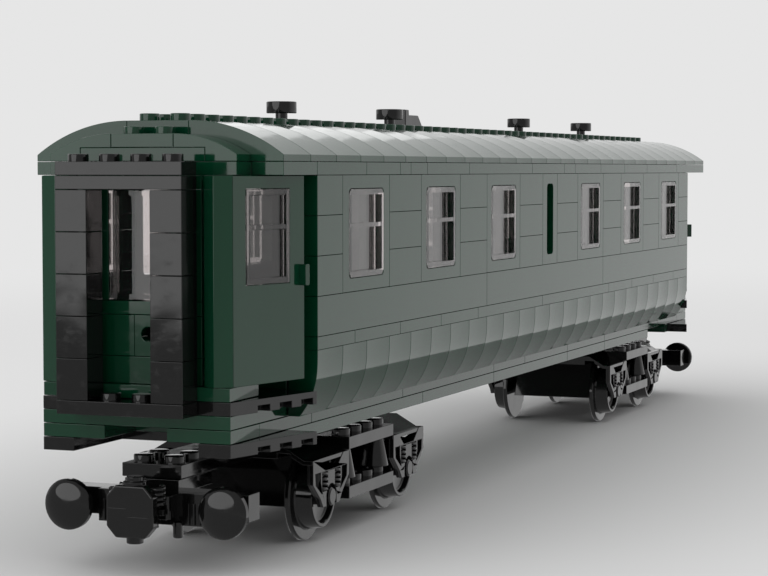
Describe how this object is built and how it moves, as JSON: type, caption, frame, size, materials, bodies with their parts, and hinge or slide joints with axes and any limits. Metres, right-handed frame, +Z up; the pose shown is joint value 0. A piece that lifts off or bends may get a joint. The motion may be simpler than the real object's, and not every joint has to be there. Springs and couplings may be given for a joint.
{
  "type": "toy brick passenger coach",
  "caption": "Toy railway passenger coach built of bricks, with an arched roof, opening end doors, gangways and swivelling bogies that roll on rails.",
  "frame": {"origin": "centre of the footprint, at the height where the wheels touch the ground", "axes": "+X along the coach towards its far end, +Y across it, +Z up"},
  "size_m": [0.4674, 0.0656, 0.1119],
  "materials": {
    "green_plastic": "glossy",
    "black_plastic": "glossy",
    "clear_glazing": "clear"
  },
  "bodies": {
    "body": {"floor_plate": "green_plastic", "upper_step_near": "black_plastic", "lower_step_near": "black_plastic", "upper_step_far": "black_plastic", "lower_step_far": "black_plastic", "underframe": "green_plastic", "tumblehome_right": "green_plastic", "sill_right": "green_plastic", "window_wall_right": "green_plastic", "window_right_1": "clear_glazing", "window_right_2": "clear_glazing", "window_right_3": "clear_glazing", "window_right_4": "clear_glazing", "window_right_5": "clear_glazing", "window_right_6": "clear_glazing", "tumblehome_left": "green_plastic", "sill_left": "green_plastic", "window_wall_left": "green_plastic", "window_left_1": "clear_glazing", "window_left_2": "clear_glazing", "window_left_3": "clear_glazing", "window_left_4": "clear_glazing", "window_left_5": "clear_glazing", "window_left_6": "clear_glazing", "eave_plate": "green_plastic", "roof_slope_right": "green_plastic", "roof_slope_left": "green_plastic", "roof_ridge": "green_plastic", "roof_end_near": "green_plastic", "roof_end_far": "green_plastic", "roof_vent_1": "black_plastic", "roof_vent_2": "black_plastic", "roof_vent_3": "black_plastic", "roof_vent_4": "black_plastic", "roof_fitting": "black_plastic", "end_wall_near": "green_plastic", "end_window_near": "clear_glazing", "gangway_near": "black_plastic", "end_wall_far": "green_plastic", "end_window_far": "clear_glazing", "gangway_far": "black_plastic"},
    "door_near_right": {"door_near_right": "green_plastic", "door_pane_near_right": "clear_glazing"},
    "door_near_left": {"door_near_left": "green_plastic", "door_pane_near_left": "clear_glazing"},
    "door_far_right": {"door_far_right": "green_plastic", "door_pane_far_right": "clear_glazing"},
    "door_far_left": {"door_far_left": "green_plastic", "door_pane_far_left": "clear_glazing"},
    "bogie_near": {"bogie_frame_near": "black_plastic", "buffer_beam_near": "black_plastic", "coupler_near": "black_plastic"},
    "wheelset_near_outer": {"wheelset_near_outer": "black_plastic"},
    "wheelset_near_inner": {"wheelset_near_inner": "black_plastic"},
    "bogie_far": {"bogie_frame_far": "black_plastic", "buffer_beam_far": "black_plastic", "coupler_far": "black_plastic"},
    "wheelset_far_outer": {"wheelset_far_outer": "black_plastic"},
    "wheelset_far_inner": {"wheelset_far_inner": "black_plastic"}
  },
  "joints": [
    {"name": "door_near_right_hinge", "type": "hinge", "parent": "body", "child": "door_near_right", "pos_m": [-0.22375, -0.02382, 0.0683], "axis": [0, 0, -1], "range_deg": [0, 95]},
    {"name": "door_near_left_hinge", "type": "hinge", "parent": "body", "child": "door_near_left", "pos_m": [-0.22375, 0.02382, 0.0683], "axis": [0, 0, 1], "range_deg": [0, 95]},
    {"name": "door_far_right_hinge", "type": "hinge", "parent": "body", "child": "door_far_right", "pos_m": [0.22035, -0.02382, 0.0683], "axis": [0, 0, 1], "range_deg": [0, 95]},
    {"name": "door_far_left_hinge", "type": "hinge", "parent": "body", "child": "door_far_left", "pos_m": [0.22035, 0.02382, 0.0683], "axis": [0, 0, -1], "range_deg": [0, 95]},
    {"name": "bogie_near_swivel", "type": "hinge", "parent": "body", "child": "bogie_near", "pos_m": [-0.1377, 0, 0.0251], "axis": [0, 0, 1], "range_deg": [-20, 20]},
    {"name": "wheelset_near_outer_spin", "type": "hinge", "parent": "bogie_near", "child": "wheelset_near_outer", "pos_m": [-0.1657, 0, 0.0115], "axis": [0, 1, 0], "continuous": true},
    {"name": "wheelset_near_inner_spin", "type": "hinge", "parent": "bogie_near", "child": "wheelset_near_inner", "pos_m": [-0.1097, 0, 0.0115], "axis": [0, 1, 0], "continuous": true},
    {"name": "bogie_far_swivel", "type": "hinge", "parent": "body", "child": "bogie_far", "pos_m": [0.1423, 0, 0.0251], "axis": [0, 0, 1], "range_deg": [-20, 20]},
    {"name": "wheelset_far_outer_spin", "type": "hinge", "parent": "bogie_far", "child": "wheelset_far_outer", "pos_m": [0.1703, 0, 0.0115], "axis": [0, 1, 0], "continuous": true},
    {"name": "wheelset_far_inner_spin", "type": "hinge", "parent": "bogie_far", "child": "wheelset_far_inner", "pos_m": [0.1143, 0, 0.0115], "axis": [0, 1, 0], "continuous": true}
  ]
}
